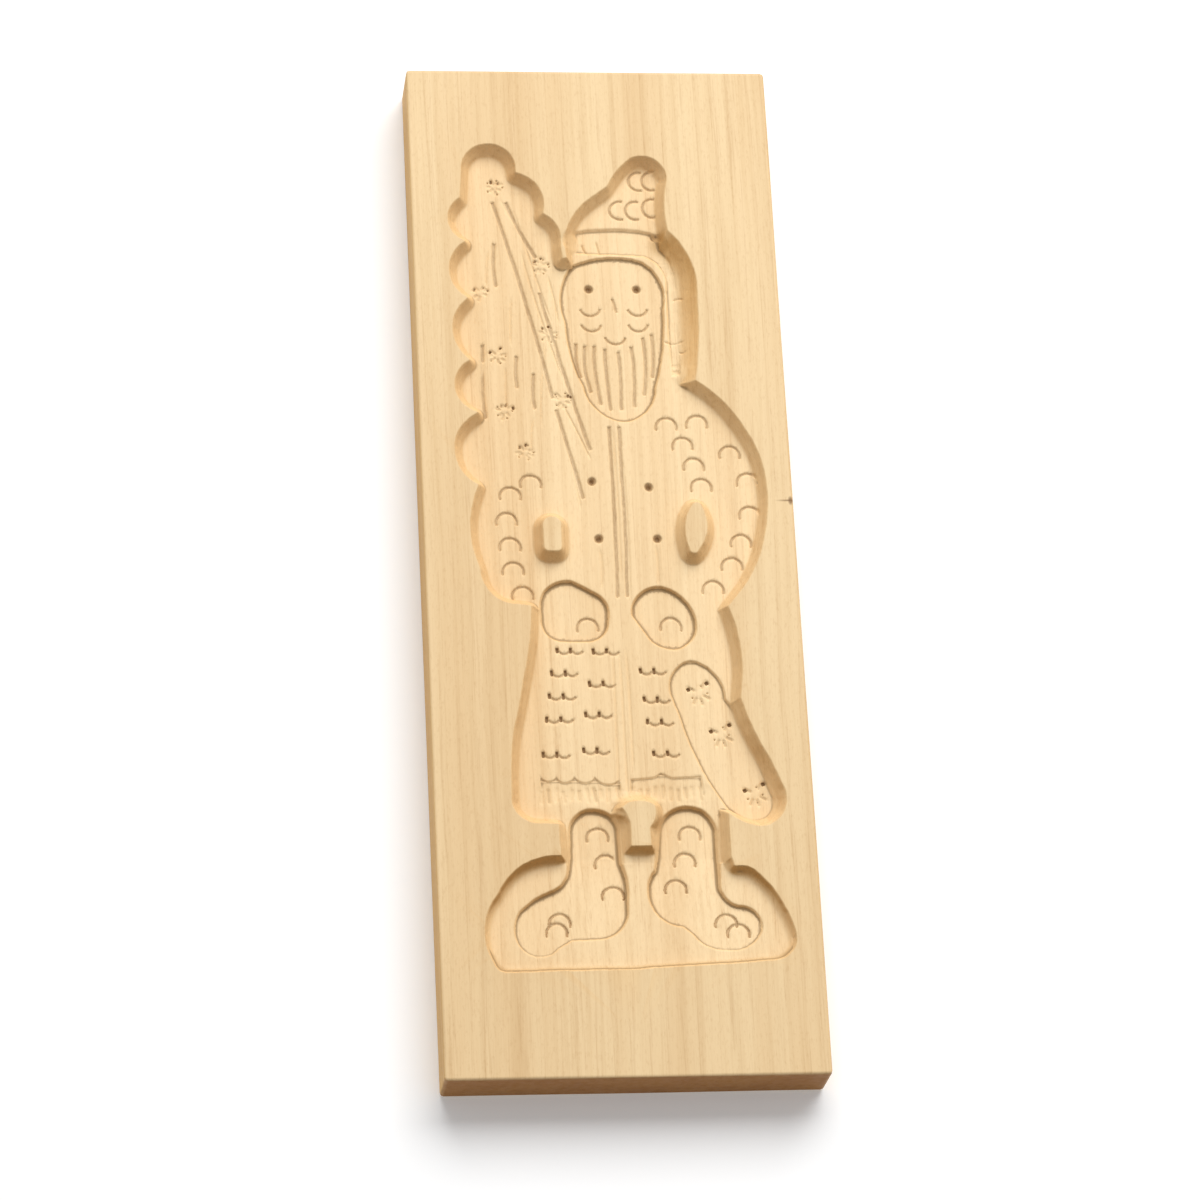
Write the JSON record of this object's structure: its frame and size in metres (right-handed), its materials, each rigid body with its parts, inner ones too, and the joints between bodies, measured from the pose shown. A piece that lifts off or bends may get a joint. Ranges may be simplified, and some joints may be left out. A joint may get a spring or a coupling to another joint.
{
  "type": "carved cookie mould",
  "caption": "Wooden cookie mould: a thick rectangular board with a bearded figure carrying a fir tree and a sack cut into its face.",
  "frame": {"origin": "middle of the board's flat back face; the board lies on its back", "axes": "+Z out of the carved face, +Y along the length towards the figure's cap, +X across the board to the right as seen from the front"},
  "size_m": [0.115, 0.332, 0.018],
  "materials": {
    "maple": "planed and hand-carved maple, unfinished and matt"
  },
  "bodies": {
    "root": {"mould_board": "maple"}
  },
  "joints": []
}
